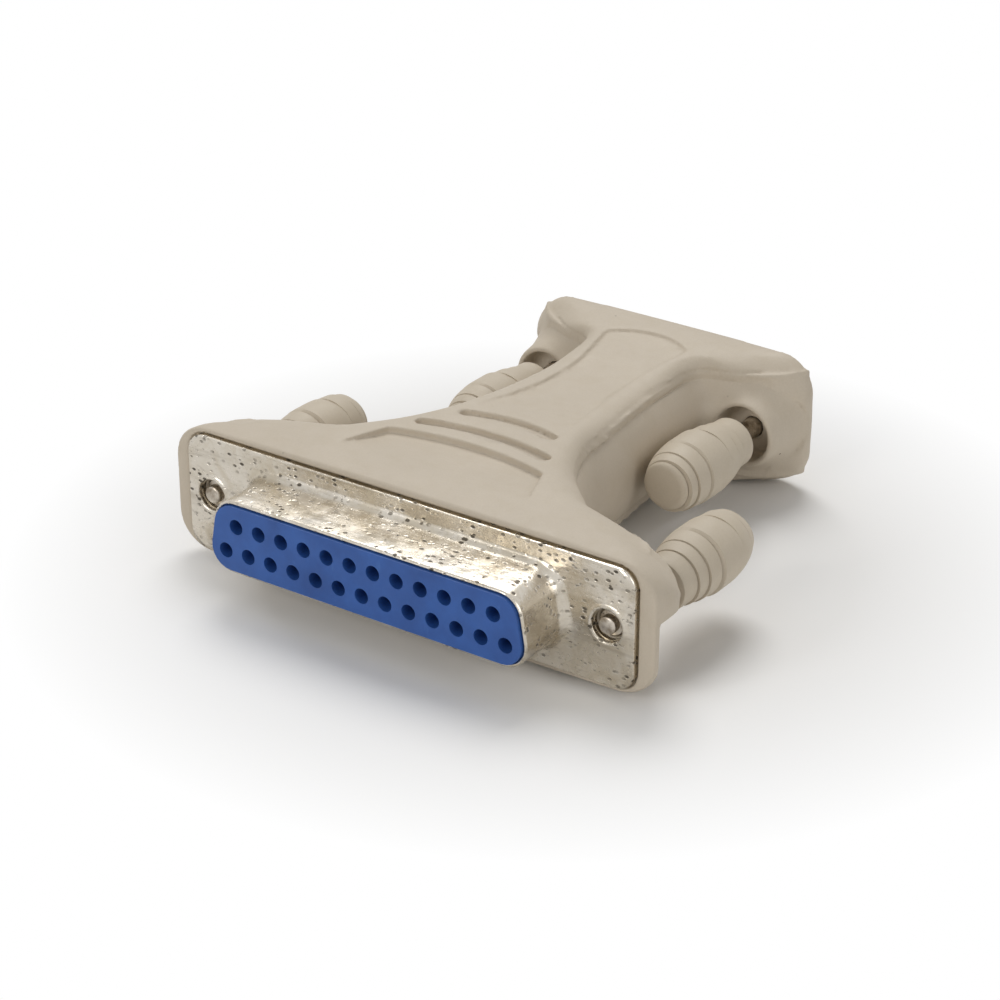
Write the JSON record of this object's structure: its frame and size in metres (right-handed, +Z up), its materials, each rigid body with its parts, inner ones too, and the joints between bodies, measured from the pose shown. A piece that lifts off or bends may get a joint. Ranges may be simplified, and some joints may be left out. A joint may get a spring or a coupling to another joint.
{
  "type": "d-sub connector",
  "caption": "Moulded serial adapter with a wide D-shaped socket at one end, a narrow one at the other and captive thumbscrews at both.",
  "frame": {"origin": "bottom centre: under the middle of the length and width, on the surface it lies on", "axes": "+X across the connectors, +Y from the wide socket to the narrow one, +Z up through the bare label recess"},
  "size_m": [0.0572, 0.0626, 0.015],
  "materials": {
    "hood_plastic": "fine matte texture, slightly yellowed",
    "knob_plastic": "matte, worn on the raised edges",
    "shell_metal": "dull tin plate, scratched and spotted",
    "rear_metal": "dull tin plate",
    "blue_plastic": "moulded, low gloss",
    "rear_plastic": "moulded, low gloss",
    "contact_metal": "thin gilt over brass",
    "wire_jacket": "smooth jacket",
    "screw_metal": "plated steel, slightly tarnished"
  },
  "bodies": {
    "housing": {"hood": "hood_plastic", "front_shell_25": "shell_metal", "rear_shell_25": "rear_metal", "front_insulator_25": "blue_plastic", "rear_insulator_25": "rear_plastic", "front_shell_9": "shell_metal", "rear_shell_9": "rear_metal", "front_insulator_9": "blue_plastic", "rear_insulator_9": "rear_plastic", "contact_25_01": "contact_metal", "contact_25_02": "contact_metal", "contact_25_03": "contact_metal", "contact_25_04": "contact_metal", "contact_25_05": "contact_metal", "contact_25_06": "contact_metal", "contact_25_07": "contact_metal", "contact_25_08": "contact_metal", "contact_25_09": "contact_metal", "contact_25_10": "contact_metal", "contact_25_11": "contact_metal", "contact_25_12": "contact_metal", "contact_25_13": "contact_metal", "contact_25_14": "contact_metal", "contact_25_15": "contact_metal", "contact_25_16": "contact_metal", "contact_25_17": "contact_metal", "contact_25_18": "contact_metal", "contact_25_19": "contact_metal", "contact_25_20": "contact_metal", "contact_25_21": "contact_metal", "contact_25_22": "contact_metal", "contact_25_23": "contact_metal", "contact_25_24": "contact_metal", "contact_25_25": "contact_metal", "contact_9_01": "contact_metal", "contact_9_02": "contact_metal", "contact_9_03": "contact_metal", "contact_9_04": "contact_metal", "contact_9_05": "contact_metal", "contact_9_06": "contact_metal", "contact_9_07": "contact_metal", "contact_9_08": "contact_metal", "contact_9_09": "contact_metal", "wire_01": "wire_jacket", "wire_02": "wire_jacket", "wire_03": "wire_jacket", "wire_04": "wire_jacket", "wire_05": "wire_jacket", "wire_06": "wire_jacket", "wire_07": "wire_jacket", "wire_08": "wire_jacket", "wire_09": "wire_jacket"},
    "jackscrew_near_left": {"screw_near_left": "screw_metal"},
    "grip_near_left": {"knob_near_left": "knob_plastic"},
    "jackscrew_near_right": {"screw_near_right": "screw_metal"},
    "grip_near_right": {"knob_near_right": "knob_plastic"},
    "jackscrew_far_left": {"screw_far_left": "screw_metal"},
    "grip_far_left": {"knob_far_left": "knob_plastic"},
    "jackscrew_far_right": {"screw_far_right": "screw_metal"},
    "grip_far_right": {"knob_far_right": "knob_plastic"}
  },
  "joints": [
    {"name": "near_left_slide", "type": "slide", "parent": "housing", "child": "jackscrew_near_left", "axis": [0, -1, 0], "range_m": [0, 0.0042]},
    {"name": "near_left_turn", "type": "hinge", "parent": "jackscrew_near_left", "child": "grip_near_left", "pos_m": [-0.02353, -0.0157, 0.0075], "axis": [0, -1, 0], "continuous": true},
    {"name": "near_right_slide", "type": "slide", "parent": "housing", "child": "jackscrew_near_right", "axis": [0, -1, 0], "range_m": [0, 0.0042]},
    {"name": "near_right_turn", "type": "hinge", "parent": "jackscrew_near_right", "child": "grip_near_right", "pos_m": [0.02353, -0.0157, 0.0075], "axis": [0, -1, 0], "continuous": true},
    {"name": "far_left_slide", "type": "slide", "parent": "housing", "child": "jackscrew_far_left", "axis": [0, 1, 0], "range_m": [0, 0.0042]},
    {"name": "far_left_turn", "type": "hinge", "parent": "jackscrew_far_left", "child": "grip_far_left", "pos_m": [-0.01248, 0.0157, 0.0075], "axis": [0, 1, 0], "continuous": true},
    {"name": "far_right_slide", "type": "slide", "parent": "housing", "child": "jackscrew_far_right", "axis": [0, 1, 0], "range_m": [0, 0.0042]},
    {"name": "far_right_turn", "type": "hinge", "parent": "jackscrew_far_right", "child": "grip_far_right", "pos_m": [0.01248, 0.0157, 0.0075], "axis": [0, 1, 0], "continuous": true}
  ]
}
